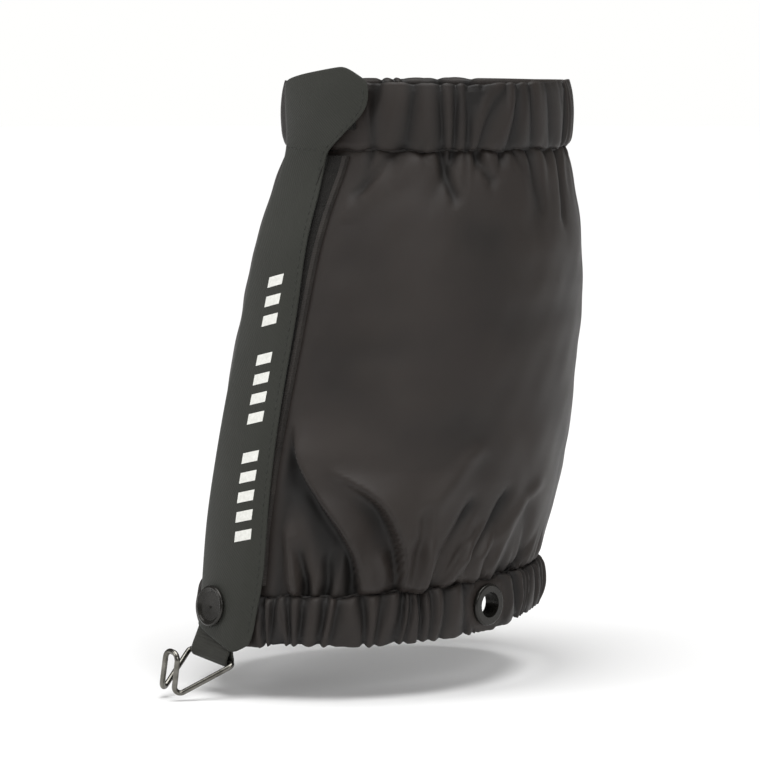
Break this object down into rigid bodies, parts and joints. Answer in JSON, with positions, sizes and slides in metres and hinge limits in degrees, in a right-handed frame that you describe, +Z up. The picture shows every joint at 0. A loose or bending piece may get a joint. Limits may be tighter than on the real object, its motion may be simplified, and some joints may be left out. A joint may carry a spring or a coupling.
{
  "type": "ankle gaiter",
  "caption": "Short front-opening gaiter: elastic-cuffed fabric tube for the ankle with a hook-and-loop front flap, snap, eyelets and a wire lace hook.",
  "frame": {"origin": "centre of the boot opening, at the level of the hem's lower edge at the sides", "axes": "+Z up the leg, -Y towards the toe (the front opening), +X towards the near side of the leg"},
  "size_m": [0.1164, 0.1817, 0.226],
  "materials": {
    "body_fabric": "satin woven nylon",
    "casing_fabric": "satin woven nylon, gathered",
    "flap_fabric": "matt woven nylon",
    "hook_tape": "matt hook pile",
    "loop_tape": "matt loop pile",
    "binding": "matt tape",
    "webbing": "matt woven webbing",
    "elastic": "knitted elastic",
    "black_metal": "black enamel, satin",
    "hook_wire": "black nickel, polished",
    "print_ink": "matt screen print"
  },
  "bodies": {
    "near_half": {"near_panel": "body_fabric", "near_cuff": "casing_fabric", "near_cuff_elastic": "elastic", "near_hem": "casing_fabric", "near_hem_elastic": "elastic", "near_grommet": "black_metal", "near_grommet_washer": "black_metal", "near_eyelet_patch": "flap_fabric", "front_facing": "flap_fabric", "hook_tape": "hook_tape", "placket_binding": "binding", "cuff_hook_patch": "hook_tape", "rear_seam_binding": "binding", "snap_stud": "black_metal", "snap_post": "black_metal", "hook_tab_anchor": "webbing"},
    "far_half": {"far_panel": "body_fabric", "far_cuff": "casing_fabric", "far_cuff_elastic": "elastic", "far_hem": "casing_fabric", "far_hem_elastic": "elastic", "far_grommet": "black_metal", "far_grommet_washer": "black_metal", "far_eyelet_patch": "flap_fabric", "flap_seam": "flap_fabric"},
    "front_flap": {"flap": "flap_fabric", "loop_tape": "loop_tape", "cuff_loop_patch": "loop_tape", "snap_cap": "black_metal", "snap_socket": "black_metal", "flap_print": "print_ink"},
    "hook_loop": {"hook_tab_loop": "webbing"},
    "lace_hook": {"lace_hook": "hook_wire"}
  },
  "joints": [
    {"name": "front_spread", "type": "hinge", "parent": "near_half", "child": "far_half", "pos_m": [0, 0.0885, 0.1], "axis": [0, 0, -1], "range_deg": [0, 21.5]},
    {"name": "flap_hinge", "type": "hinge", "parent": "far_half", "child": "front_flap", "pos_m": [-0.0173, -0.05678, 0.093], "axis": [0, -0.2164, -0.9763], "range_deg": [0, 150]},
    {"name": "hook_loop_flex", "type": "hinge", "parent": "near_half", "child": "hook_loop", "pos_m": [-0.00357, -0.0733, -0.00342], "axis": [0.9945, 0, -0.1045], "range_deg": [-20, 35]},
    {"name": "lace_hook_swivel", "type": "hinge", "parent": "hook_loop", "child": "lace_hook", "pos_m": [-0.004, -0.073, -0.0075], "axis": [0.9945, 0, -0.1045], "range_deg": [-40, 60]}
  ],
  "couplings": [
    {"joint": "front_spread", "follows": "flap_hinge", "ratio": 0.14}
  ]
}
